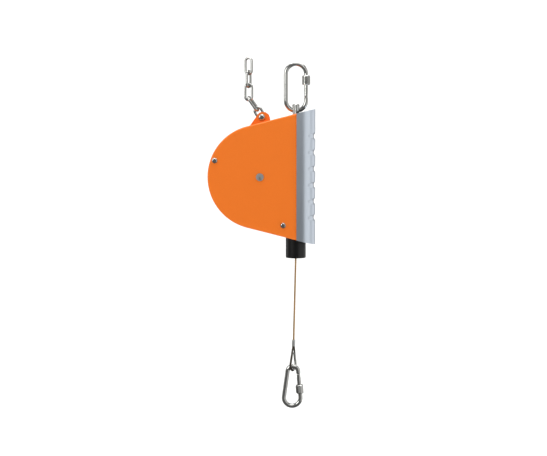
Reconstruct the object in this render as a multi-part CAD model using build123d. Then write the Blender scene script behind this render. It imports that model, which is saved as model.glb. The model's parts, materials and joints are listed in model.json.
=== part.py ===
from build123d import *
import math
import os

# A self retracting lifeline with a flat D shaped housing and a hand grip along its straight side.
# Millimetres, +Z up, -Y towards the front face. The origin is where the load bears: inside the top
# of the oval carabiner. The drum turns on an axle along Y.

# Housing and drum axle
axle_x = -50.0
axle_z = -153.0
housing_radius = 72.0
housing_slope = 14.3
half_depth = 22.0
wall = 2.5
face_rounding = 2.0
grip_start = 0.5

# Grip profile
grip_reach = 27.0
grip_half_depth = 23.5
grip_straight = 7.0
grip_cavity = 18.0
cap_thickness = 2.4
notch_pitch = 22.5
notch_count = 6
notch_radius = 5.7
notch_ring_radius = 34.9
notch_ring_x = -4.3

# Screws and bolts
shell_screws = [(-111.9, -130.3), (-17.9, -219.6)]
shell_screw_head = 3.8
shell_screw_radius = 2.0
ear_bolt_x = -47.2
ear_bolt_z = -70.9
ear_bolt_radius = 2.5
ear_inner = 2.5
ear_outer = 8.0
ear_recess = 9.4

# Rope, nozzle and drum
rope_radius = 1.3
rope_lean = 1.4
nozzle_radius = 14.0
nozzle_end_z = -266.0
free_rope = 115.8
rope_start = 0.04
winding_radius = 50.0
winding_turns = 9
turn_pitch = 2.7
flange_radius = 56.0
flange_thickness = 2.0
axle_radius = 5.0
hub_radius = 10.0

# Ratchet
ring_outer = 46.0
tooth_root = 41.0
tooth_tip = 37.5
tooth_count = 12
pawl_pin_reach = 27.0
pawl_count = 2

# Power spring
spring_strip = 0.8
spring_pitch = 3.0
spring_turns = 9
spring_start = 14.0

# Suspension chain
link_wire = 3.6
link_inner_length = 18.4
link_inner_width = 6.0
link_leans = [0.0, 0.0, 0.0, 35.0, 30.0]
link_twists = [-25.0, 60.0, -10.0, 70.0, 0.0]
link_seat = 0.9
first_link_offset = 4.2

# Carabiners: radius at the hinge end, radius at the nose end, distance between the two centres
wire = 3.0
oval = dict(
    hinge_radius=14.0, nose_radius=14.0, span=36.6,
    seat=3.4, tip=34.65, nut=12.8, nut_radius=5.6,
)
pear = dict(
    hinge_radius=7.4, nose_radius=11.65, span=37.25,
    seat=3.0, tip=32.0, nut=12.3, nut_radius=5.1,
)
oval_hinge_z = -47.6
gate_radius = 2.8
gate_gap = 0.35
pin_radius = 0.9

# Swivel eye
eye_z = -62.2
eye_top = -52.7
eye_half_width = 5.0
eye_half_depth = 8.5
eye_hole = 4.4
eye_shank = 4.0
eye_recess = 9.3

# Rope eye and thimble, along the rope below the nozzle
ferrule_length = 9.2
loop_turn = 62.0
loop_radius = 8.4
thimble_fit = 0.02
thimble_top = 16.0
hook_gap = 1.0
thimble_wall = 0.8
thimble_width = 2.6
hook_drop = 153.2

running = 0.05


def rod(start, end, radius):
    """Round bar from one point to another."""
    start, end = Vector(*start), Vector(*end)
    plane = Plane(origin=start, z_dir=end - start)
    return extrude(plane * Circle(radius), amount=(end - start).length)


def bar_y(x, z, y_from, y_to, radius):
    """Round bar along Y."""
    return rod((x, y_from, z), (x, y_to, z), radius)


def tube_y(x, z, y_from, y_to, outer, inner):
    """Tube along Y."""
    return bar_y(x, z, y_from, y_to, outer) - bar_y(x, z, y_from - 1, y_to + 1, inner)


def tube_z(x, z_from, z_to, outer, inner):
    """Tube along Z."""
    return rod((x, 0, z_from), (x, 0, z_to), outer) - rod((x, 0, z_from - 1), (x, 0, z_to + 1), inner)


def block(x, y, z):
    """Box between two limits on each axis."""
    size = [x[1] - x[0], y[1] - y[0], z[1] - z[0]]
    return Pos((x[0] + x[1]) / 2, (y[0] + y[1]) / 2, (z[0] + z[1]) / 2) * Box(*size)


def prism_y(face, y_from, y_to):
    """Extrudes a face drawn on XZ (as local x and y) between two depths."""
    plane = Plane(origin=(0, y_from, 0), x_dir=(1, 0, 0), z_dir=(0, -1, 0))
    return extrude(plane * face, amount=y_from - y_to)


def d_outline(inset, right):
    """The housing's outline: a round left end and two straight edges that spread to the right."""
    radius = housing_radius - inset
    spread = math.radians(housing_slope)
    across, up = radius * math.sin(spread), radius * math.cos(spread)
    reach = right - axle_x
    high = up + (reach + across) * math.tan(spread)
    top_touch = (axle_x - across, axle_z + up)
    low_touch = (axle_x - across, axle_z - up)
    top_right, low_right = (right, axle_z + high), (right, axle_z - high)
    left = (axle_x - radius, axle_z)
    straights = Polyline(low_touch, low_right, top_right, top_touch)
    return make_face(ThreePointArc(top_touch, left, low_touch) + straights)


def ear_face():
    """Side outline of the lug that carries the chain."""
    top = ear_bolt_z + 7.6
    foot = axle_z + 60.0
    outline = Polyline(
        (-73.0, foot), (-63.1, -81.2), (-54.6, ear_bolt_z + 1.5), (-51.0, top - 1.4),
        (-47.5, top), (-42.0, top - 0.4), (-37.6, top - 3.6), (-35.7, top - 9.0),
        (-35.7, foot), (-73.0, foot),
    )
    return make_face(outline)


def shell(side):
    """One half of the housing. side is -1 for the front and +1 for the rear."""
    body = prism_y(d_outline(0, grip_start), 0, side * half_depth)
    rim = body.faces().sort_by(Axis.Y)[0 if side < 0 else -1].edges()
    rim = rim.filter_by(lambda edge: edge.center().X < grip_start - 0.01)
    body = fillet(rim, face_rounding)
    floor = side * (half_depth - wall)
    lug = prism_y(ear_face(), side * ear_inner, side * ear_outer)
    body = body + (lug - prism_y(d_outline(1.0, grip_start), -half_depth, half_depth))
    body = body - prism_y(d_outline(wall, grip_start + 5), 0, floor)
    body = body - bar_y(ear_bolt_x, ear_bolt_z, -ear_inner, ear_inner, ear_recess)
    body = body - bar_y(ear_bolt_x, ear_bolt_z, -ear_outer - 1, ear_outer + 1, ear_bolt_radius)
    for x, z in shell_screws:
        body = body - bar_y(x, z, -half_depth - 1, half_depth + 1, shell_screw_radius)
    body = body - bar_y(axle_x, axle_z, -half_depth - 1, half_depth + 1, axle_radius)
    body = body - rod((0, 0, -90), (0, 0, 0), eye_recess)
    body = body - rod((0, 0, -270), (0, 0, -215), 9.0)
    if side > 0:
        for z in block_screw_heights():
            body = body - bar_y(-7, z, 0, half_depth + 1, shell_screw_radius)
        for x, z in ring_screw_places():
            body = body - bar_y(x, z, 0, half_depth + 1, 1.5)
    return body


def block_screw_heights():
    """Heights of the rear screws that hold the suspension block and the guide block."""
    return [-82.0, -213.0]


def grip_section(inset, back):
    """Plan of the grip profile: straight flanks and a half elliptical nose."""
    half = grip_half_depth - inset
    nose = grip_reach - grip_straight - inset
    flanks = Pos((back + grip_straight) / 2, 0) * Rectangle(grip_straight - back, 2 * half)
    return flanks + Pos(grip_straight, 0) * Ellipse(nose, half)


def grip_profile():
    """Extruded aluminium profile that closes the right side, with six finger notches."""
    section = grip_section(0, grip_start) - Pos(grip_start - 25, 0) * Rectangle(50, 60)
    body = extrude(Pos(0, 0, -260) * section, amount=210)
    cavity = grip_section(3.0, grip_start - 1) & Pos(grip_cavity - 25, 0) * Rectangle(50, 60)
    body = body - extrude(Pos(0, 0, -261) * cavity, amount=212)
    half = half_depth - wall - 0.15
    for side in (-1, 1):
        lip = block((-3.4, grip_start + 3), sorted((side * half, side * (half - 2.2))), (-229, -77))
        web = block((grip_start, grip_start + 3), sorted((side * half, side * 21)), (-229, -77))
        body = body + lip + web
    body = body & prism_y(d_outline(0, 40), -30, 30)
    first = axle_z - notch_pitch * (notch_count - 1) / 2
    for number in range(notch_count):
        ring = Torus(notch_ring_radius, notch_radius)
        body = body - Pos(notch_ring_x, 0, first + number * notch_pitch) * ring
    body = body - rod((0, 0, -90), (0, 0, 0), eye_recess)
    body = body - rod((0, 0, -270), (0, 0, -215), 9.0)
    return body


def grip_end_caps():
    """Plates that close the ends of the grip profile."""
    left, right = grip_start + 3.1, grip_cavity - 0.1
    cavity = grip_section(3.1, left) & Pos((left + right) / 2, 0) * Rectangle(right - left, 60)
    body = extrude(Pos(0, 0, -260) * cavity, amount=210)
    body = body & (prism_y(d_outline(0, 40), -30, 30) - prism_y(d_outline(cap_thickness, 41), -31, 31))
    body = body - rod((0, 0, -90), (0, 0, 0), eye_recess)
    body = body - rod((0, 0, -270), (0, 0, -215), nozzle_radius + 0.1)
    return list(body.solids())


def suspension_block():
    """Steel block that takes the load from the housing to the swivel eye."""
    body = block((-14, 17), (-16.5, 16.5), (-88, -50))
    body = body & prism_y(d_outline(wall + 0.1, 40), -30, 30)
    body = body - rod((0, 0, -73), (0, 0, 0), eye_recess)
    body = body - rod((0, 0, -95), (0, 0, -60), eye_shank + 1.5)
    body = body - bar_y(-7, block_screw_heights()[0], 9.5, 20, shell_screw_radius - 0.3)
    return body


def swivel_bush():
    """Flanged bush that the eye turns in."""
    sleeve = tube_z(0, -88, -73, eye_shank + 1.5, eye_shank + running)
    return sleeve + tube_z(0, -73, -72.2, 9.0, eye_shank + running)


def swivel_eye():
    """Oval post with a cross hole for the carabiner, and a turned shank."""
    post = extrude(Pos(0, 0, -71) * Ellipse(eye_half_width, eye_half_depth), amount=71 + eye_top)
    post = chamfer(post.edges().sort_by(Axis.Z)[-1], 0.7)
    post = post - rod((-20, 0, eye_z), (20, 0, eye_z), eye_hole)
    for side in (-1, 1):
        mouth = Rot(0, 90 * side, 0) * Cone(eye_hole, eye_hole + 1.2, 1.2)
        post = post - Pos(side * (eye_half_width - 0.55), 0, eye_z) * mouth
    collar = rod((0, 0, -72.1), (0, 0, -70), eye_half_depth + 0.3)
    shank = rod((0, 0, -95), (0, 0, -70), eye_shank)
    return post + collar + shank


def eye_washer():
    """Thrust washer under the suspension block."""
    return tube_z(0, -89.6, -88.1, 7.5, eye_shank + 0.02)


def eye_nut():
    """Locking nut of the swivel eye."""
    hexagon = extrude(Pos(0, 0, -94) * RegularPolygon(7.0, 6), amount=4.3)
    return hexagon - rod((0, 0, -96), (0, 0, -88), eye_shank)


def guide_block():
    """Plastic block that leads the rope from the drum to the nozzle."""
    body = block((-26, 16), (-16.5, 16.5), (-245, -208))
    body = body & prism_y(d_outline(wall + 0.1, 40), -30, 30)
    body = body - rod((0, 0, -250), (0, 0, -200), 2.5)
    body = body - rod((0, 0, -250), (0, 0, -222), 9.0)
    body = body - Pos(0, 0, -209.5) * Rot(180, 0, 0) * Cone(6.0, 2.5, 3.0)
    spacer_x, spacer_z = shell_screws[1]
    body = body - bar_y(spacer_x, spacer_z, -30, 30, 3.5)
    body = body - bar_y(-7, block_screw_heights()[1], 9.5, 20, shell_screw_radius - 0.3)
    return body - bar_y(axle_x, axle_z, -30, 30, flange_radius + 1)


def rope_nozzle():
    """Rubber buffer that the rope leaves through."""
    cap = rod((0, 0, nozzle_end_z), (0, 0, -230), nozzle_radius)
    low = cap.edges().filter_by(GeomType.CIRCLE).sort_by(Axis.Z)[0]
    cap = fillet(low, 1.2)
    cap = cap - prism_y(d_outline(0, 40), -40, 40)
    cap = cap + rod((0, 0, -250), (0, 0, -222.1), 8.95)
    cap = cap - rod((0, 0, -261), (0, 0, -220), 3.5)
    return cap - rod((0, 0, -268), (0, 0, -220), rope_radius + 0.7)


def nozzle_insert():
    """Hard sleeve inside the nozzle that the rope runs on."""
    return tube_z(0, -260.9, -222.1, 3.5, rope_radius + 0.7)


def rope_lead():
    """Straight rope between the drum and the nozzle."""
    return rod((0, 0, nozzle_end_z), (0, 0, axle_z - 18), rope_radius)


def axle():
    """Fixed axle with a slotted front end."""
    body = bar_y(axle_x, axle_z, -half_depth, half_depth + 7, axle_radius)
    head = bar_y(axle_x, axle_z, -half_depth - 1.6, -half_depth, 5.3)
    slot = block((axle_x - 1, axle_x + 1), (-half_depth - 2, -half_depth + 2), (axle_z - 4.2, axle_z))
    return body + head - slot


def axle_nut():
    """Nut and washer on the rear end of the axle."""
    plane = Plane(origin=(axle_x, half_depth + 1.2, axle_z), z_dir=(0, 1, 0))
    nut = extrude(plane * RegularPolygon(8.5, 6), amount=5)
    washer = bar_y(axle_x, axle_z, half_depth, half_depth + 1.2, 9)
    return nut + washer - bar_y(axle_x, axle_z, 20, 40, axle_radius)


def axle_spacers():
    """Two distance rings that keep the drum in the middle of the axle."""
    front = tube_y(axle_x, axle_z, -half_depth + wall, -15.3, 7.5, axle_radius)
    rear = tube_y(axle_x, axle_z, 15.3, half_depth - wall, 7.5, axle_radius)
    return [front, rear]


def drum():
    """Drum with its tread, rear web, rear flange and hub."""
    tread_half = winding_turns * turn_pitch / 2
    tread_radius = winding_radius - rope_radius
    body = tube_y(axle_x, axle_z, -tread_half, tread_half, tread_radius, tread_radius - 4)
    body = body + bar_y(axle_x, axle_z, tread_half - 3, tread_half, tread_radius - 3)
    body = body + bar_y(axle_x, axle_z, tread_half, tread_half + flange_thickness, flange_radius)
    body = body + bar_y(axle_x, axle_z, -tread_half, tread_half, hub_radius)
    body = body - bar_y(axle_x, axle_z, -30, 30, axle_radius + 2)
    for x, z in pawl_pin_places():
        body = body - bar_y(x, z, 0, 30, 1.5)
    return body


def drum_flange():
    """Loose front flange that also closes the spring chamber's rim."""
    tread_half = winding_turns * turn_pitch / 2
    outer = winding_radius - rope_radius - 4
    return tube_y(axle_x, axle_z, -tread_half - flange_thickness, -tread_half, flange_radius, outer)


def spring_cover():
    """Disc over the spring chamber."""
    tread_half = winding_turns * turn_pitch / 2
    outer = winding_radius - rope_radius - 4
    return tube_y(axle_x, axle_z, -tread_half - 1.5, -tread_half, outer, axle_radius + 2)


def drum_bushes():
    """Two bearing bushes in the hub."""
    half = winding_turns * turn_pitch / 2 + flange_thickness
    front = tube_y(axle_x, axle_z, -half, -2, axle_radius + 2, axle_radius + running)
    rear = tube_y(axle_x, axle_z, 2, half, axle_radius + 2, axle_radius + running)
    return [front, rear]


def power_spring():
    """Flat spiral spring, drawn as half circles whose centres step from side to side."""
    inner, outer = [], []
    step = spring_pitch / 2
    centre = 0.0
    radius = spring_start
    for number in range(2 * spring_turns):
        start = 0 if number % 2 == 0 else 180
        inner.append(CenterArc((axle_x + centre, axle_z), radius, start, 180))
        outer.append(CenterArc((axle_x + centre, axle_z), radius + spring_strip, start, 180))
        centre = centre + (step if number % 2 == 0 else -step)
        radius = radius + step
    ends = [Line(inner[0] @ 0, outer[0] @ 0), Line(inner[-1] @ 1, outer[-1] @ 1)]
    face = make_face([edge.edge() for edge in inner + outer + ends])
    return prism_y(face, -11.0, 8.0)


def rope_winding():
    """Rope lying on the drum in one layer of turns."""
    turns = []
    for number in range(winding_turns):
        y = (number - (winding_turns - 1) / 2) * turn_pitch
        ring = Rot(90, 0, 0) * Torus(winding_radius, rope_radius)
        turns.append(Pos(axle_x, y, axle_z) * ring)
    return turns


def pawl_pin_places():
    """Centres of the pawl pins, evenly spaced around the drum."""
    places = []
    for number in range(pawl_count):
        turn = math.radians(90 + number * 360 / pawl_count)
        x = axle_x + pawl_pin_reach * math.cos(turn)
        z = axle_z + pawl_pin_reach * math.sin(turn)
        places.append((x, z))
    return places


def pawl_pins():
    """Shouldered pins that the pawls swing on."""
    back = winding_turns * turn_pitch / 2 + flange_thickness
    pins = []
    for x, z in pawl_pin_places():
        pin = bar_y(x, z, back - 4.8, back + 5.1, 1.5) + bar_y(x, z, back + 3.4, back + 4.4, 2.6)
        pins.append(pin)
    return pins


def pawl(number):
    """One pawl, lying along the drum with its nose just inside the ratchet teeth."""
    back = winding_turns * turn_pitch / 2 + flange_thickness
    x, z = pawl_pin_places()[number]
    side = 1 if number == 0 else -1
    corners = [(-3, -4), (3, -4), (19, 2.5), (18, 5.0), (3, 4), (-3, 4), (-3, -4)]
    arm = Polyline([(x + side * right, z + side * up) for right, up in corners])
    body = prism_y(make_face(arm), back + 0.3, back + 3.3)
    return body - bar_y(x, z, 0, 30, 1.5 + running)


def pawl_springs():
    """Small wire springs that hold the pawls in."""
    back = winding_turns * turn_pitch / 2 + flange_thickness
    springs = []
    for number, (x, z) in enumerate(pawl_pin_places()):
        side = 1 if number == 0 else -1
        coil = tube_y(x, z, back + 4.45, back + 5.05, 2.4, 1.6)
        leg = rod((x + 2 * side, back + 4.75, z - side), (x + 11 * side, back + 4.75, z - side), 0.25)
        springs.append(coil + leg)
    return springs


def ratchet_ring():
    """Internally toothed ring on the rear shell that the pawls catch in."""
    points = []
    pitch = 360 / tooth_count
    for number in range(tooth_count):
        steep, shallow = math.radians(number * pitch), math.radians((number + 0.85) * pitch)
        points.append((axle_x + tooth_tip * math.cos(steep), axle_z + tooth_tip * math.sin(steep)))
        points.append((axle_x + tooth_root * math.cos(steep), axle_z + tooth_root * math.sin(steep)))
        points.append((axle_x + tooth_root * math.cos(shallow), axle_z + tooth_root * math.sin(shallow)))
    opening = make_face(Polyline(*points, points[0]))
    body = bar_y(axle_x, axle_z, 14.9, half_depth - wall, ring_outer)
    body = body - prism_y(opening, 0, 30)
    for x, z in ring_screw_places():
        body = body - bar_y(x, z, 16, 30, 1.5)
    return body


def ring_screw_places():
    """Centres of the four ratchet ring screws."""
    places = []
    for number in range(4):
        turn = math.radians(45 + 90 * number)
        places.append((axle_x + 43.6 * math.cos(turn), axle_z + 43.6 * math.sin(turn)))
    return places


def button_screw(x, z, side, surface, tip, shank, head):
    """Button head screw along Y with a hexagon recess. side is -1 when its head is at the front."""
    top = surface + side * head * 0.6
    dome = bar_y(x, z, *sorted((surface, top)), head)
    rim = dome.faces().sort_by(Axis.Y)[0 if side < 0 else -1].edges()
    dome = fillet(rim, head * 0.5)
    plane = Plane(origin=(x, top - side * head * 0.35, z), z_dir=(0, side, 0))
    recess = extrude(plane * RegularPolygon(head * 0.32, 6), amount=head)
    return dome + bar_y(x, z, *sorted((surface, tip)), shank) - recess


def face_screws():
    """Screws on the front face."""
    return [
        button_screw(x, z, -1, -half_depth, half_depth + 3.6, shell_screw_radius, shell_screw_head)
        for x, z in shell_screws
    ]


def face_screw_nuts():
    """Nuts of the face screws, at the rear."""
    nuts = []
    for x, z in shell_screws:
        plane = Plane(origin=(x, half_depth, z), z_dir=(0, 1, 0))
        nut = extrude(plane * RegularPolygon(4.0, 6), amount=3.2)
        nuts.append(nut - bar_y(x, z, 20, 30, shell_screw_radius))
    return nuts


def shell_spacers():
    """Tubes that keep the shells apart around the face screws."""
    inner = half_depth - wall
    return [tube_y(x, z, -inner, inner, 3.5, shell_screw_radius + 0.02) for x, z in shell_screws]


def block_screws():
    """Rear screws into the suspension block and the guide block."""
    return [
        button_screw(-7, z, 1, half_depth, 10.0, shell_screw_radius - 0.3, shell_screw_head)
        for z in block_screw_heights()
    ]


def ring_screws():
    """Rear screws into the ratchet ring."""
    return [button_screw(x, z, 1, half_depth, 16.5, 1.5, 2.8) for x, z in ring_screw_places()]


def ear_bolt():
    """Bolt through the ear that carries the chain."""
    shank = ear_bolt_radius - 0.02
    return button_screw(ear_bolt_x, ear_bolt_z, -1, -ear_outer, ear_outer + 4.6, shank, 4.5)


def ear_nut():
    """Nut of the ear bolt."""
    plane = Plane(origin=(ear_bolt_x, ear_outer, ear_bolt_z), z_dir=(0, 1, 0))
    nut = extrude(plane * RegularPolygon(4.8, 6), amount=4)
    return nut - bar_y(ear_bolt_x, ear_bolt_z, 0, 20, ear_bolt_radius)


def sweep_wire(path, radius):
    """Round wire along a path."""
    start = Plane(origin=path @ 0, z_dir=path % 0)
    return sweep(start * Circle(radius), path=path)


def chain_link():
    """One link of round wire, standing upright in XZ about the origin."""
    half = link_inner_width / 2 + link_wire / 2
    straight = (link_inner_length + link_wire) / 2 - half
    leg = rod((half, 0, -straight), (half, 0, straight), link_wire / 2)
    bow = Rot(90, 0, 0) * Torus(half, link_wire / 2)
    upper = Pos(0, 0, straight) * (bow & block((-20, 20), (-20, 20), (0, 20)))
    lower = Pos(0, 0, -straight) * (bow & block((-20, 20), (-20, 20), (-20, 0)))
    return leg + mirror(leg, Plane.YZ) + upper + lower


def upwards(place, degrees, distance):
    """Moves a point on XZ along a link that leans to the left."""
    lean = math.radians(degrees)
    return place[0] - distance * math.sin(lean), place[1] + distance * math.cos(lean)


def link_centres():
    """Centres of the links from the ear bolt upwards. Each wire sits a little inside the next bow."""
    wire_reach = (link_inner_length + link_wire) / 2
    seat_reach = (link_inner_length - link_inner_width) / 2 + link_seat
    leans = list(reversed(link_leans))
    centres = [upwards((ear_bolt_x, ear_bolt_z), leans[0], first_link_offset)]
    for number in range(1, len(leans)):
        reach = (seat_reach, wire_reach) if number % 2 == 1 else (wire_reach, seat_reach)
        joint = upwards(centres[-1], leans[number - 1], reach[0])
        centres.append(upwards(joint, leans[number], reach[1]))
    return centres


def placed_link(number):
    """Link 1 is the free end of the chain and link 5 sits on the ear bolt."""
    x, z = link_centres()[5 - number]
    twisted = Rot(0, 0, link_twists[number - 1]) * chain_link()
    return Pos(x, 0, z) * Rot(0, -link_leans[number - 1], 0) * twisted


def leg_normal(size):
    """Outward direction of a carabiner's right leg, across it."""
    lean = math.asin((size["nose_radius"] - size["hinge_radius"]) / size["span"])
    return math.cos(lean), -math.sin(lean)


def leg_point(size, distance):
    """A point on the centre line of the right leg, measured from where the hinge end's bow stops."""
    across, down = leg_normal(size)
    x = size["hinge_radius"] * across - down * distance
    return x, size["hinge_radius"] * down + across * distance


def carabiner_path(size):
    """Centre line from the nose round to the hinge seat. The hinge end's centre is the origin."""
    across, down = leg_normal(size)
    high = (size["nose_radius"] * across, size["span"] + size["nose_radius"] * down)
    low = leg_point(size, 0)
    tip, seat = leg_point(size, size["tip"] + gate_gap), leg_point(size, size["seat"])
    top, bottom = (0, size["span"] + size["nose_radius"]), (0, -size["hinge_radius"])
    path = Line(tip, high) + ThreePointArc(high, top, (-high[0], high[1]))
    path = path + Line((-high[0], high[1]), (-low[0], low[1]))
    path = path + ThreePointArc((-low[0], low[1]), bottom, low) + Line(low, seat)
    return Plane.XZ * path


def pin_place(size):
    """Centre of the gate pin."""
    return leg_point(size, size["seat"] + 2.7)


def carabiner_frame(size):
    """Bent wire body with a flat tongue that the gate is pinned to."""
    body = sweep_wire(carabiner_path(size), wire)
    x, z = pin_place(size)
    seat = leg_point(size, size["seat"] - 0.5)
    tongue = rod((seat[0], 0, seat[1]), (x, 0, z), 2.3) & block((-40, 40), (-1.2, 1.2), (-80, 80))
    tongue = tongue + bar_y(x, z, -1.2, 1.2, 2.3)
    return body + tongue - bar_y(x, z, -5, 5, pin_radius)


def carabiner_gate(size):
    """Round gate with a fork over the frame's tongue."""
    x, z = pin_place(size)
    tip = leg_point(size, size["tip"])
    arm = rod((x, 0, z), (tip[0], 0, tip[1]), gate_radius)
    fork = bar_y(x, z, -gate_radius, gate_radius, 2.4)
    ball = Pos(x, 0, z) * Sphere(gate_radius)
    body = arm + (fork & ball)
    slot_end = leg_point(size, size["seat"] + 6.4)
    slot = rod((x, 0, z), (slot_end[0], 0, slot_end[1]), 4.0) + bar_y(x, z, -4, 4, 3.0)
    slot = slot & block((-40, 40), (-1.35, 1.35), (-80, 80))
    return body - slot - bar_y(x, z, -5, 5, pin_radius + running)


def gate_pin(size):
    """Pin of the gate."""
    x, z = pin_place(size)
    return bar_y(x, z, -2.5, 2.5, pin_radius)


def screw_nut(size):
    """Sleeve nut on the gate, shown screwed back just clear of the nose."""
    low, high = leg_point(size, size["tip"] - size["nut"] - 0.1), leg_point(size, size["tip"] - 0.1)
    body = rod((low[0], 0, low[1]), (high[0], 0, high[1]), size["nut_radius"])
    body = chamfer(body.edges().filter_by(GeomType.CIRCLE), 0.8)
    below, above = leg_point(size, size["tip"] - size["nut"] - 2), leg_point(size, size["tip"] + 2)
    return body - rod((below[0], 0, below[1]), (above[0], 0, above[1]), wire + 0.2)


def along_rope(shape, drop):
    """Hangs a shape below the nozzle on the leaning rope."""
    return Pos(0, 0, nozzle_end_z) * Rot(0, rope_lean, 0) * Pos(0, 0, -drop) * shape


def hook_place(shape):
    """Puts a carabiner shape, hinge end up, under the thimble."""
    return along_rope(Rot(180, 0, 0) * shape, hook_drop + pear["hinge_radius"])


def rope():
    """Free wire rope below the nozzle."""
    return along_rope(rod((0, 0, -free_rope), (0, 0, -rope_start), rope_radius), 0)


def ferrule():
    """Crimped sleeve at the top of the rope eye."""
    sleeve = rod((0, 0, -ferrule_length), (0, 0, 0), 2.4)
    sleeve = fillet(sleeve.edges().filter_by(GeomType.CIRCLE), 0.6)
    return along_rope(sleeve, free_rope)


def loop_neck():
    """Where a leg of the rope eye enters the ferrule, seen from the centre of the round end."""
    inner = loop_radius - rope_radius - thimble_fit - thimble_wall
    return rope_radius + 0.05, hook_drop + wire + hook_gap - inner - free_rope - ferrule_length


def loop_normal():
    """Outward direction of the straight leg that runs from the neck and touches the round end."""
    x, z = loop_neck()
    turn = math.atan2(z, x) - math.acos(loop_radius / math.hypot(x, z))
    return math.cos(turn), math.sin(turn)


def loop_face(grow):
    """Teardrop with its round end down, about the centre of that end."""
    radius = loop_radius + grow
    across, up = loop_normal()
    touch, apex = (radius * across, radius * up), (0, radius / up)
    drop = Line(apex, touch) + ThreePointArc(touch, (0, -radius), (-touch[0], touch[1]))
    return make_face(drop + Line((-touch[0], touch[1]), apex))


def hang_loop(shape):
    """Turns a part of the rope eye about the rope and hangs it where the hook bears on it."""
    inner = loop_radius - rope_radius - thimble_fit - thimble_wall
    return along_rope(Rot(0, 0, loop_turn) * shape, hook_drop + wire + hook_gap - inner)


def rope_eye():
    """Rope bent round the thimble, with its two legs meeting at the ferrule."""
    across, up = loop_normal()
    touch = (loop_radius * across, loop_radius * up)
    bow = CenterArc((0, 0), loop_radius, -90, 90 + math.degrees(math.atan2(up, across)))
    half = sweep_wire(Plane.XZ * (bow + Line(touch, loop_neck())), rope_radius)
    half = half & block((0, 20), (-5, 5), (-20, loop_neck()[1] - 0.05))
    return hang_loop(half + mirror(half, Plane.YZ))


def thimble():
    """Steel liner of the rope eye."""
    outer = loop_face(-rope_radius - thimble_fit)
    inner = loop_face(-rope_radius - thimble_fit - thimble_wall)
    body = prism_y(outer, -thimble_width / 2, thimble_width / 2) - prism_y(inner, -5, 5)
    return hang_loop(body & block((-20, 20), (-20, 20), (-20, thimble_top)))


def oval_place(shape):
    """Puts a carabiner shape, hinge end down, at the top."""
    return Pos(0, 0, oval_hinge_z) * shape


def save(name, shape):
    """Writes one node, which may be a group of separate solids."""
    if isinstance(shape, (list, ShapeList)):
        shape = Compound(children=list(shape))
    export_step(shape, os.path.join("parts", name + ".step"))


def main():
    """Builds and writes every node."""
    os.makedirs("parts", exist_ok=True)
    nodes = {
        "front_shell": shell(-1),
        "rear_shell": shell(1),
        "grip_profile": grip_profile(),
        "grip_end_caps": grip_end_caps(),
        "suspension_block": suspension_block(),
        "swivel_bush": swivel_bush(),
        "swivel_eye": swivel_eye(),
        "eye_washer": eye_washer(),
        "eye_nut": eye_nut(),
        "guide_block": guide_block(),
        "rope_nozzle": rope_nozzle(),
        "nozzle_insert": nozzle_insert(),
        "rope_lead": rope_lead(),
        "axle": axle(),
        "axle_nut": axle_nut(),
        "axle_spacers": axle_spacers(),
        "drum": drum(),
        "drum_flange": drum_flange(),
        "spring_cover": spring_cover(),
        "drum_bushes": drum_bushes(),
        "power_spring": power_spring(),
        "rope_winding": rope_winding(),
        "pawl_pins": pawl_pins(),
        "pawl_springs": pawl_springs(),
        "ratchet_ring": ratchet_ring(),
        "face_screws": face_screws(),
        "face_screw_nuts": face_screw_nuts(),
        "shell_spacers": shell_spacers(),
        "block_screws": block_screws(),
        "ring_screws": ring_screws(),
        "ear_bolt": ear_bolt(),
        "ear_nut": ear_nut(),
        "wire_rope": rope(),
        "ferrule": ferrule(),
        "rope_eye": rope_eye(),
        "thimble": thimble(),
    }
    for number in range(pawl_count):
        nodes[f"pawl_{number + 1}"] = pawl(number)
    for number in range(1, 6):
        nodes[f"chain_link_{number}"] = placed_link(number)
    for name, size, place in (("oval", oval, oval_place), ("hook", pear, hook_place)):
        nodes[name + "_frame"] = place(carabiner_frame(size))
        nodes[name + "_gate"] = place(carabiner_gate(size))
        nodes[name + "_gate_pin"] = place(gate_pin(size))
        nodes[name + "_screw_nut"] = place(screw_nut(size))
    for name, shape in nodes.items():
        save(name, shape)


main()
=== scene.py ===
import bmesh
import bpy
import json
import math
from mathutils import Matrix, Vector


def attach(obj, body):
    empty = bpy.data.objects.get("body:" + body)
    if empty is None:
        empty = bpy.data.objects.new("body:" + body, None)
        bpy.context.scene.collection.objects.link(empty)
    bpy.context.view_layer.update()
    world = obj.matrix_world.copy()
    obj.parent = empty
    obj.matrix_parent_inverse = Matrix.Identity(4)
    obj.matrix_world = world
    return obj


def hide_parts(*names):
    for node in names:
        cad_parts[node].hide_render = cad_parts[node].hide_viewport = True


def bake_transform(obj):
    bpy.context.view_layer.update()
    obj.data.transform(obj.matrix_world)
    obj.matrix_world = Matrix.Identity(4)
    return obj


# Self retracting lifeline: a flat orange housing with a notched grip, hung from an oval carabiner.

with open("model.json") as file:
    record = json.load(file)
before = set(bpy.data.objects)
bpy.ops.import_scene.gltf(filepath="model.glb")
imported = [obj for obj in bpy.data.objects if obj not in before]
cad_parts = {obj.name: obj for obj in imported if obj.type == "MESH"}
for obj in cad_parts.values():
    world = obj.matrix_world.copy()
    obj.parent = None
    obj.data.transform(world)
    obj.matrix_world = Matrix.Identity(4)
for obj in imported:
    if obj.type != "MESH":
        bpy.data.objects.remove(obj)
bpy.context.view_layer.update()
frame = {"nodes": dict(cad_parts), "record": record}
nodes = frame["nodes"]
scene = bpy.context.scene
mm = 0.001
print("frame loaded:", len(nodes), "nodes")


def hexToLinear(code):
    # sRGB hex to the linear colour that the shaders want
    values = [int(code[i:i + 2], 16) / 255 for i in (1, 3, 5)]
    linear = [v / 12.92 if v <= 0.04045 else ((v + 0.055) / 1.055) ** 2.4 for v in values]
    return (*linear, 1.0)


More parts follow.
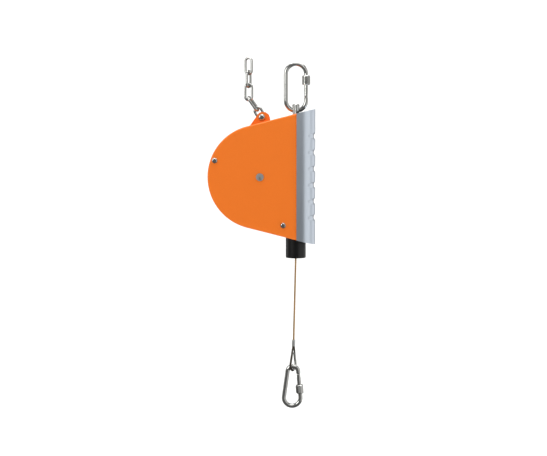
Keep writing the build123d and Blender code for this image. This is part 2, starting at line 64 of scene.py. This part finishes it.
def addNode(tree, kind, inputs=None, **settings):
    # adds a node, sets its properties, and sets or links its inputs
    node = tree.nodes.new(kind)
    for name, value in settings.items():
        setattr(node, name, value)
    for name, value in (inputs or {}).items():
        if isinstance(value, bpy.types.NodeSocket):
            tree.links.new(value, node.inputs[name])
        else:
            node.inputs[name].default_value = value
    return node


def newMaterial(name, **values):
    # a material with one principled shader, ready for its pattern
    material = bpy.data.materials.new(name)
    material.use_nodes = True
    tree = material.node_tree
    tree.nodes.clear()
    output = addNode(tree, "ShaderNodeOutputMaterial")
    shader = addNode(tree, "ShaderNodeBsdfPrincipled", values)
    tree.links.new(shader.outputs["BSDF"], output.inputs["Surface"])
    return material, tree, shader


grain = {"detail": 3.0, "roughness": 0.55, "low": 0.3, "high": 0.7}


def addGrain(tree, shader, look):
    # noise on Object coordinates, for the tone, the roughness and a shallow bump
    place = addNode(tree, "ShaderNodeTexCoord").outputs["Object"]
    stretched = addNode(tree, "ShaderNodeMapping", {
        "Vector": place,
        "Scale": [1 / (size * mm) for size in look["grain"]],
    })
    noise = addNode(tree, "ShaderNodeTexNoise", {
        "Vector": stretched.outputs["Vector"], "Scale": 1.0,
        "Detail": grain["detail"], "Roughness": grain["roughness"],
    })
    tone = addNode(tree, "ShaderNodeMix", {
        0: noise.outputs["Fac"], 6: hexToLinear(look["dark"]), 7: hexToLinear(look["light"]),
    }, data_type="RGBA")
    tree.links.new(tone.outputs[2], shader.inputs["Base Color"])
    rough = addNode(tree, "ShaderNodeMapRange", {
        "Value": noise.outputs["Fac"], "From Min": grain["low"], "From Max": grain["high"],
        "To Min": look["rough"][0], "To Max": look["rough"][1],
    })
    tree.links.new(rough.outputs["Result"], shader.inputs["Roughness"])
    bump = addNode(tree, "ShaderNodeBump", {
        "Height": noise.outputs["Fac"], "Strength": look["bump"], "Distance": look["height"] * mm,
    })
    tree.links.new(bump.outputs["Normal"], shader.inputs["Normal"])


def powderCoat():
    # sprayed and baked polyester on cast aluminium: saturated orange, soft gloss, faint orange peel
    material, tree, shader = newMaterial("orangePowderCoat", **{
        "Metallic": 0.0, "IOR": 1.5, "Specular IOR Level": 0.4,
    })
    addGrain(tree, shader, {
        "grain": (1.4, 1.4, 1.4), "dark": "#EC7114", "light": "#F27B1C", "rough": (0.38, 0.48),
        "bump": 0.12, "height": 0.06,
    })
    return material


def anodisedAluminium():
    # extruded and clear anodised: pale blue grey, satin, with fine lines along the extrusion
    material, tree, shader = newMaterial("clearAnodisedAluminium", **{"Metallic": 1.0})
    addGrain(tree, shader, {
        "grain": (0.5, 0.5, 60.0), "dark": "#C6CFDA", "light": "#D8E0E9", "rough": (0.3, 0.4),
        "bump": 0.15, "height": 0.02,
    })
    return material


def zincPlate():
    # bright zinc plating on bent steel wire: silver, smooth, a little uneven
    material, tree, shader = newMaterial("brightZincPlate", **{"Metallic": 1.0})
    addGrain(tree, shader, {
        "grain": (1.6, 1.6, 1.6), "dark": "#A9AAA9", "light": "#C6C5C0", "rough": (0.1, 0.17),
        "bump": 0.04, "height": 0.03,
    })
    return material


def machinedSteel():
    # turned and ground steel: mid grey, with short tool marks
    material, tree, shader = newMaterial("machinedSteel", **{"Metallic": 1.0})
    addGrain(tree, shader, {
        "grain": (0.4, 4.0, 0.4), "dark": "#B0B1B0", "light": "#C9C9C6", "rough": (0.42, 0.55),
        "bump": 0.1, "height": 0.02,
    })
    return material


def bufferRubber():
    # moulded black rubber: nearly black, dull, with a fine matt skin
    material, tree, shader = newMaterial("bufferRubber", **{
        "Metallic": 0.0, "IOR": 1.52, "Specular IOR Level": 0.35,
    })
    addGrain(tree, shader, {
        "grain": (0.7, 0.7, 0.7), "dark": "#030303", "light": "#070708", "rough": (0.3, 0.4),
        "bump": 0.15, "height": 0.04,
    })
    return material


def mouldedNylon():
    # glass filled nylon: dark grey, matt, slightly mottled
    material, tree, shader = newMaterial("mouldedNylon", **{"Metallic": 0.0, "IOR": 1.53})
    addGrain(tree, shader, {
        "grain": (0.9, 0.9, 0.9), "dark": "#202123", "light": "#2B2C2E", "rough": (0.5, 0.62),
        "bump": 0.2, "height": 0.04,
    })
    return material


def sinteredBronze():
    # porous oil filled bronze: warm brown metal, dull and speckled
    material, tree, shader = newMaterial("sinteredBronze", **{"Metallic": 1.0})
    addGrain(tree, shader, {
        "grain": (0.3, 0.3, 0.3), "dark": "#8A6434", "light": "#B98B4C", "rough": (0.4, 0.55),
        "bump": 0.3, "height": 0.03,
    })
    return material


def ropeWire():
    # drawn wire with a warm lubricated sheen: light tan metal, darker where dirt sits
    material, tree, shader = newMaterial("lubricatedWireRope", **{"Metallic": 0.75})
    addGrain(tree, shader, {
        "grain": (0.6, 0.6, 3.0), "dark": "#A07A48", "light": "#D9B483", "rough": (0.3, 0.45),
        "bump": 0.1, "height": 0.03,
    })
    return material


def shadedRopeWire():
    # the same rope round the thimble, darkened to brown grey as painted shade for the shadow in the
    # thimble's groove
    material, tree, shader = newMaterial("ropeWirePaintedShade", **{"Metallic": 0.7})
    addGrain(tree, shader, {
        "grain": (0.6, 0.6, 2.0), "dark": "#2E2A26", "light": "#5C5348", "rough": (0.35, 0.5),
        "bump": 0.1, "height": 0.03,
    })
    return material


def bluedSpringSteel():
    # hardened and blued strip: dark blue grey, smooth
    material, tree, shader = newMaterial("bluedSpringSteel", **{"Metallic": 1.0})
    addGrain(tree, shader, {
        "grain": (3.0, 0.4, 3.0), "dark": "#2B313C", "light": "#434B59", "rough": (0.25, 0.35),
        "bump": 0.05, "height": 0.02,
    })
    return material


def dieCast():
    # bare die cast aluminium: light grey, dull, slightly grainy
    material, tree, shader = newMaterial("dieCastAluminium", **{"Metallic": 1.0})
    addGrain(tree, shader, {
        "grain": (1.0, 1.0, 1.0), "dark": "#9A9C9E", "light": "#B2B4B6", "rough": (0.42, 0.55),
        "bump": 0.2, "height": 0.05,
    })
    return material


finishes = {
    "orange_paint": powderCoat(), "anodised": anodisedAluminium(), "steel": machinedSteel(),
    "zinc": zincPlate(), "rubber": bufferRubber(), "plastic": mouldedNylon(), "bronze": sinteredBronze(),
    "rope": ropeWire(), "spring_steel": bluedSpringSteel(), "cast": dieCast(),
}
# a painted-shade copy of the rope finish, for the rope in the thimble's shadowed groove
shadedRope = shadedRopeWire()
for part in frame["record"]["subparts"]:
    mesh = nodes[part["node"]].data
    mesh.materials.clear()
    mesh.materials.append(finishes[part["material_slot"]])
print("finishes on", len(nodes), "nodes")


rope = {
    "exit": (0.0, 0.0, -266 * mm),
    "lean": math.radians(1.4),
    "length": 115.8 * mm,
    "diameter": 2.6 * mm,
    "extraPoint": 6,  # diameters above the ferrule
    "strands": 6,
    "strandRadius": 0.44 * mm,
    "layLength": 17 * mm,
    "stepsPerLay": 20,
    "sides": 8,
    "routeSteps": 24,
}


def ropePoint(drop, across=0.0, depth=0.0):
    # a point on the leaning rope, measured down from the nozzle
    down = Vector((-math.sin(rope["lean"]), 0, -math.cos(rope["lean"])))
    side = Vector((math.cos(rope["lean"]), 0, -math.sin(rope["lean"])))
    return Vector(rope["exit"]) + down * drop + side * across + Vector((0, depth, 0))


def splineLine(name, route, resolution):
    # a NURBS spline through the route, read back as plain points
    curve = bpy.data.curves.new(name, "CURVE")
    curve.dimensions = "3D"
    curve.resolution_u = resolution
    spline = curve.splines.new("NURBS")
    spline.points.add(len(route) - 1)
    for point, place in zip(spline.points, route):
        point.co = (*place, 1.0)
    spline.order_u = 3
    spline.use_endpoint_u = True
    holder = bpy.data.objects.new(name, curve)
    scene.collection.objects.link(holder)
    mesh = bpy.data.meshes.new_from_object(holder)
    points = [v.co.copy() for v in mesh.vertices]
    bpy.data.objects.remove(holder)
    bpy.data.meshes.remove(mesh)
    return points


def evenPoints(points, count):
    # the same line with evenly spaced points
    lengths = [0.0]
    for a, b in zip(points, points[1:]):
        lengths.append(lengths[-1] + (b - a).length)
    even, at = [], 0
    for number in range(count + 1):
        want = lengths[-1] * number / count
        while at < len(points) - 2 and lengths[at + 1] < want:
            at += 1
        share = (want - lengths[at]) / max(lengths[at + 1] - lengths[at], 1e-12)
        even.append(points[at].lerp(points[at + 1], share))
    return even


def tangents(points):
    last = len(points) - 1
    return [(points[min(i + 1, last)] - points[max(i - 1, 0)]).normalized() for i in range(last + 1)]


def sweepRing(vertices, faces, line, ring):
    # sweeps a closed ring of (across, out) offsets along a line, and closes both ends
    first = len(vertices)
    across = Vector((0, 1, 0))
    for place, along in zip(line, tangents(line)):
        out = along.cross(across).normalized()
        side = out.cross(along).normalized()
        across = side
        for a, b in ring:
            vertices.append(place + side * a + out * b)
    count = len(ring)
    for row in range(len(line) - 1):
        for k in range(count):
            a, b = first + row * count + k, first + row * count + (k + 1) % count
            faces.append((a, b, b + count, a + count))
    faces.append(tuple(first + k for k in reversed(range(count))))
    faces.append(tuple(first + (len(line) - 1) * count + k for k in range(count)))


def circleRing(radius, sides):
    turns = [2 * math.pi * k / sides for k in range(sides)]
    return [(radius * math.cos(t), radius * math.sin(t)) for t in turns]


def makeObject(name, vertices, faces, material, smooth=True):
    mesh = bpy.data.meshes.new(name)
    mesh.from_pydata([tuple(v) for v in vertices], [], faces)
    mesh.materials.append(material)
    mesh.validate()
    obj = bpy.data.objects.new(name, mesh)
    scene.collection.objects.link(obj)
    recalculateNormals(obj)
    mesh.shade_smooth() if smooth else mesh.shade_flat()
    return obj


def recalculateNormals(obj):
    bm = bmesh.new()
    bm.from_mesh(obj.data)
    bmesh.ops.remove_doubles(bm, verts=bm.verts, dist=1e-7)
    bmesh.ops.recalc_face_normals(bm, faces=bm.faces)
    bm.to_mesh(obj.data)
    bm.free()


def strandedRope(name, points, material):
    # strands laid round a core, following the points of the route
    length = sum((b - a).length for a, b in zip(points, points[1:]))
    steps = max(12, round(length / rope["layLength"] * rope["stepsPerLay"]))
    line = evenPoints(points, steps)
    vertices, faces = [], []
    layRadius = rope["diameter"] / 2 - rope["strandRadius"]
    sweepRing(vertices, faces, line, circleRing(layRadius, rope["sides"]))
    for strand in range(rope["strands"]):
        helix, across = [], Vector((0, 1, 0))
        for number, (place, along) in enumerate(zip(line, tangents(line))):
            out = along.cross(across).normalized()
            across = out.cross(along).normalized()
            travelled = length * number / (len(line) - 1)
            turn = 2 * math.pi * (travelled / rope["layLength"] + strand / rope["strands"])
            helix.append(place + (across * math.cos(turn) + out * math.sin(turn)) * layRadius)
        sweepRing(vertices, faces, helix, circleRing(rope["strandRadius"], rope["sides"]))
    return makeObject(name, vertices, faces, material), line


ropeRoute = [
    ropePoint(0),
    ropePoint(rope["length"] - rope["extraPoint"] * rope["diameter"]),
    ropePoint(rope["length"]),
]
routeLine = splineLine("ropeRoute", ropeRoute, rope["routeSteps"])
freeRope, ropeLine = strandedRope("freeRope", routeLine, finishes["rope"])
print("rope laid:", len(freeRope.data.polygons), "faces")


eye = {
    "turn": math.radians(62),
    "radius": 8.4 * mm,
    "hookDrop": 153.2 * mm,
    "hookWire": 3.0 * mm,
    "gap": 1.0 * mm,
    "wall": 0.8 * mm,
    "ferruleEnd": 125.0 * mm,
    "neck": 1.35 * mm,
    "channelWidth": 2.4 * mm,
    "lip": 0.6 * mm,
    "segments": 40,
    "legSteps": 8,
    "openTop": 8 * mm,
}


def eyeCentre():
    # drop of the centre of the loop's round end
    inner = eye["radius"] - rope["diameter"] / 2 - eye["wall"]
    return eye["hookDrop"] + eye["hookWire"] + eye["gap"] - inner


def eyePoint(x, z):
    # a point of the loop's own plane, turned about the rope
    return ropePoint(eyeCentre() - z, x * math.cos(eye["turn"]), x * math.sin(eye["turn"]))


def loopOutline(radius, topHeight, topHalf):
    # teardrop points: down one straight leg, round the end and up the other leg
    reach = math.hypot(topHalf, topHeight)
    touch = math.atan2(topHeight, topHalf) - math.acos(radius / reach)
    sweep = math.pi + 2 * touch
    bow = [touch - sweep * k / eye["segments"] for k in range(eye["segments"] + 1)]
    points = [(radius * math.cos(t), radius * math.sin(t)) for t in bow]
    top, steps = Vector((topHalf, topHeight)), eye["legSteps"]
    leg = [tuple(top.lerp(Vector(points[0]), step / steps)) for step in range(steps)]
    other = [(-x, z) for x, z in reversed(leg)]
    return leg + points + other


def makeRopeEye():
    outline = loopOutline(eye["radius"], eyeCentre() - eye["ferruleEnd"], eye["neck"])
    line = [eyePoint(x, z) for x, z in outline]
    # the eye's rope takes the painted-shade dark copy of the rope finish
    piece, _ = strandedRope("ropeEyeStrands", line, shadedRope)
    return piece


def makeThimble():
    # bent channel whose two lips hold the rope
    height = eyeCentre() - eye["ferruleEnd"]
    radius = eye["radius"] - rope["diameter"] / 2
    outline = [p for p in loopOutline(radius, height, 0.1 * mm) if p[1] < height - eye["openTop"]]
    half, lip, wall = eye["channelWidth"] / 2, eye["lip"], eye["wall"]
    channel = [
        (-half, -wall), (half, -wall), (half, lip), (half - wall / 2, lip),
        (half - wall / 2, 0), (-half + wall / 2, 0), (-half + wall / 2, lip), (-half, lip),
    ]
    vertices, faces = [], []
    normal = (eyePoint(1, 0) - eyePoint(0, 0)).cross(eyePoint(0, 1) - eyePoint(0, 0)).normalized()
    for index, (x, z) in enumerate(outline):
        before, after = outline[max(index - 1, 0)], outline[min(index + 1, len(outline) - 1)]
        dx, dz = after[0] - before[0], after[1] - before[1]
        size = math.hypot(dx, dz)
        outX, outZ = -dz / size, dx / size
        for a, b in channel:
            vertices.append(eyePoint(x + outX * b, z + outZ * b) + normal * a)
    count = len(channel)
    for row in range(len(outline) - 1):
        for k in range(count):
            a, b = row * count + k, row * count + (k + 1) % count
            faces.append((a, b, b + count, a + count))
    faces.append(tuple(reversed(range(count))))
    faces.append(tuple((len(outline) - 1) * count + k for k in range(count)))
    return makeObject("thimbleChannel", vertices, faces, finishes["zinc"], smooth=False)


ropeEye = makeRopeEye()
thimble = makeThimble()
print("rope eye and thimble made")


# fine ribs along each screw nut, between its two chamfers
knurl = {"ribs": 40, "ribRadius": 0.3 * mm, "sunk": 0.08 * mm, "ribSides": 6}
hangerNut = {
    "start": Vector((14.0, 0, -24.4)) * mm, "end": Vector((14.0, 0, -14.5)) * mm, "radius": 5.6 * mm,
}
hookNut = {
    "start": ropePoint(181.4 * mm, 9.69 * mm), "end": ropePoint(190.1 * mm, 10.69 * mm),
    "radius": 5.1 * mm,
}


def knurlTree():
    # one rib, set round a circle, turned to the nut's axis
    tree = bpy.data.node_groups.new("knurlRibs", "GeometryNodeTree")
    face = tree.interface
    sockets = {}
    for name, kind in (
        ("Ribs", "NodeSocketInt"), ("Rib Sides", "NodeSocketInt"),
        ("Rib Radius", "NodeSocketFloat"), ("Rib Length", "NodeSocketFloat"),
        ("Circle Radius", "NodeSocketFloat"), ("Centre", "NodeSocketVector"),
        ("Turn", "NodeSocketVector"), ("Material", "NodeSocketMaterial"),
    ):
        sockets[name] = face.new_socket(name, in_out="INPUT", socket_type=kind).identifier
    face.new_socket("Geometry", in_out="OUTPUT", socket_type="NodeSocketGeometry")
    given = addNode(tree, "NodeGroupInput").outputs
    rib = addNode(tree, "GeometryNodeMeshCylinder", {
        "Vertices": given["Rib Sides"], "Radius": given["Rib Radius"], "Depth": given["Rib Length"],
    })
    circle = addNode(tree, "GeometryNodeMeshCircle", {
        "Vertices": given["Ribs"], "Radius": given["Circle Radius"],
    })
    ribs = addNode(tree, "GeometryNodeInstanceOnPoints", {
        "Points": circle.outputs["Mesh"], "Instance": rib.outputs["Mesh"],
    })
    turn = addNode(tree, "FunctionNodeEulerToRotation", {"Euler": given["Turn"]})
    placed = addNode(tree, "GeometryNodeTransform", {
        "Geometry": ribs.outputs["Instances"], "Translation": given["Centre"],
        "Rotation": turn.outputs["Rotation"],
    })
    real = addNode(tree, "GeometryNodeRealizeInstances", {"Geometry": placed.outputs["Geometry"]})
    painted = addNode(tree, "GeometryNodeSetMaterial", {
        "Geometry": real.outputs["Geometry"], "Material": given["Material"],
    })
    addNode(tree, "NodeGroupOutput", {"Geometry": painted.outputs["Geometry"]})
    return tree, sockets


def makeKnurl(name, nut, tree, sockets):
    axis = nut["end"] - nut["start"]
    holder = bpy.data.objects.new(name + "Maker", bpy.data.meshes.new(name + "Maker"))
    scene.collection.objects.link(holder)
    modifier = holder.modifiers.new("knurl", "NODES")
    modifier.node_group = tree
    sizes = {
        "Ribs": knurl["ribs"], "Rib Radius": knurl["ribRadius"], "Rib Length": axis.length,
        "Rib Sides": knurl["ribSides"], "Circle Radius": nut["radius"] - knurl["sunk"],
        "Centre": (nut["start"] + nut["end"]) / 2,
        "Turn": Vector(axis.to_track_quat("Z", "Y").to_euler()),
        "Material": finishes["zinc"],
    }
    for label, value in sizes.items():
        modifier[sockets[label]] = value
    evaluated = holder.evaluated_get(bpy.context.evaluated_depsgraph_get())
    mesh = bpy.data.meshes.new_from_object(evaluated)
    bpy.data.objects.remove(holder)
    piece = bpy.data.objects.new(name, mesh)
    scene.collection.objects.link(piece)
    return piece


knurlNodes, knurlSockets = knurlTree()
hangerKnurl = makeKnurl("hangerNutRibs", hangerNut, knurlNodes, knurlSockets)
hookKnurl = makeKnurl("hookNutRibs", hookNut, knurlNodes, knurlSockets)
print("ribs on the screw nuts:", len(hangerKnurl.data.polygons), len(hookKnurl.data.polygons), "faces")


studio = {
    "floorDrop": 0.9, "floorSize": 14.0, "backDistance": 3.0,
    "bend": 1.0, "bendSteps": 12, "wallHeight": 6.0,
    "paper": "#F4F4F3", "paperRoughness": 0.9, "fillStrength": 0.17,
    "cameraDistance": 1.8, "elevation": math.radians(4.0),
    "aimX": -31.1 * mm, "aimZ": -224.5 * mm, "viewWidth": 763 * mm, "sensor": 36.0,
}

middle = (0, 0, -0.2)
lights = {
    "keyLeft": {"place": (-1.4, -1.3, 0.45), "aim": middle, "size": (1.0, 1.0), "power": 15},
    "softRight": {"place": (1.35, -0.9, -0.15), "aim": middle, "size": (1.6, 2.4), "power": 9},
    "sideRight": {"place": (1.6, 0.05, -0.15), "aim": middle, "size": (0.9, 2.4), "power": 3},
    "rimRight": {"place": (1.3, 0.95, -0.15), "aim": middle, "size": (1.1, 2.2), "power": 6},
    "rimLeft": {"place": (-1.5, 0.7, -0.15), "aim": middle, "size": (0.7, 2.2), "power": 5},
    "frontFill": {"place": (0.5, -2.4, 0.9), "aim": middle, "size": (1.4, 0.8), "power": 7.5},
    "topSoft": {"place": (0.1, -0.5, 1.4), "aim": middle, "size": (1.6, 0.8), "power": 10},
    "backdropWash": {"place": (0, 0.4, 2.2), "aim": (0, 2.6, -0.3), "size": (4.0, 1.5), "power": 120},
}


def makeSweep():
    # pale floor that curves up into a backdrop
    paper = bpy.data.materials.new("paleStudioPaper")
    paper.use_nodes = True
    shader = paper.node_tree.nodes["Principled BSDF"]
    shader.inputs["Base Color"].default_value = hexToLinear(studio["paper"])
    shader.inputs["Roughness"].default_value = studio["paperRoughness"]
    half, back, low = studio["floorSize"] / 2, studio["backDistance"], -studio["floorDrop"]
    bend, steps = studio["bend"], studio["bendSteps"]
    profile = [(-half, low), (back - bend, low)]
    for k in range(1, steps + 1):
        turn = math.pi / 2 * k / steps
        profile.append((back - bend + bend * math.sin(turn), low + bend * (1 - math.cos(turn))))
    profile.append((back, low + studio["wallHeight"]))
    vertices = [(side * half, y, z) for side in (-1, 1) for y, z in profile]
    count = len(profile)
    faces = [(k, k + 1, k + 1 + count, k + count) for k in range(count - 1)]
    piece = makeObject("studioSweep", vertices, faces, paper)
    piece.visible_glossy = False  # bright metal keeps its dark edges against the pale paper


def addLight(name, look):
    light = bpy.data.lights.new(name, "AREA")
    light.shape = "RECTANGLE"
    light.size, light.size_y = look["size"]
    light.energy = look["power"]
    holder = bpy.data.objects.new(name, light)
    holder.location = look["place"]
    aim = Vector(look["aim"]) - Vector(look["place"])
    holder.rotation_euler = aim.to_track_quat("-Z", "Y").to_euler()
    scene.collection.objects.link(holder)


def makeWorld():
    world = bpy.data.worlds.new("studioFill")
    world.use_nodes = True
    background = world.node_tree.nodes["Background"]
    background.inputs["Color"].default_value = hexToLinear("#FFFFFF")
    background.inputs["Strength"].default_value = studio["fillStrength"]
    scene.world = world


def makeCamera():
    lens = bpy.data.cameras.new("studioCamera")
    lens.sensor_width = studio["sensor"]
    lens.lens = studio["sensor"] * studio["cameraDistance"] / studio["viewWidth"]
    camera = bpy.data.objects.new("studioCamera", lens)
    tilt, reach = studio["elevation"], studio["cameraDistance"]
    camera.location = (studio["aimX"], -reach * math.cos(tilt), studio["aimZ"] + reach * math.sin(tilt))
    camera.rotation_euler = (math.pi / 2 - tilt, 0, 0)
    scene.collection.objects.link(camera)
    scene.camera = camera


scene.view_settings.view_transform = "Standard"
makeSweep()
makeWorld()
for name, light in lights.items():
    addLight(name, light)
makeCamera()
print("studio ready")


onTheRope = [nodes[name] for name in (
    "ferrule", "hook_frame", "hook_gate", "hook_gate_pin", "hook_screw_nut",
)]
onTheRope += [ropeEye, thimble]
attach(ropeEye, "rope_end")
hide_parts("rope_eye")
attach(thimble, "rope_end")
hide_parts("thimble")
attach(hangerKnurl, "hanger_nut")
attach(hookKnurl, "hook_nut")
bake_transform(freeRope)
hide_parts("wire_rope")
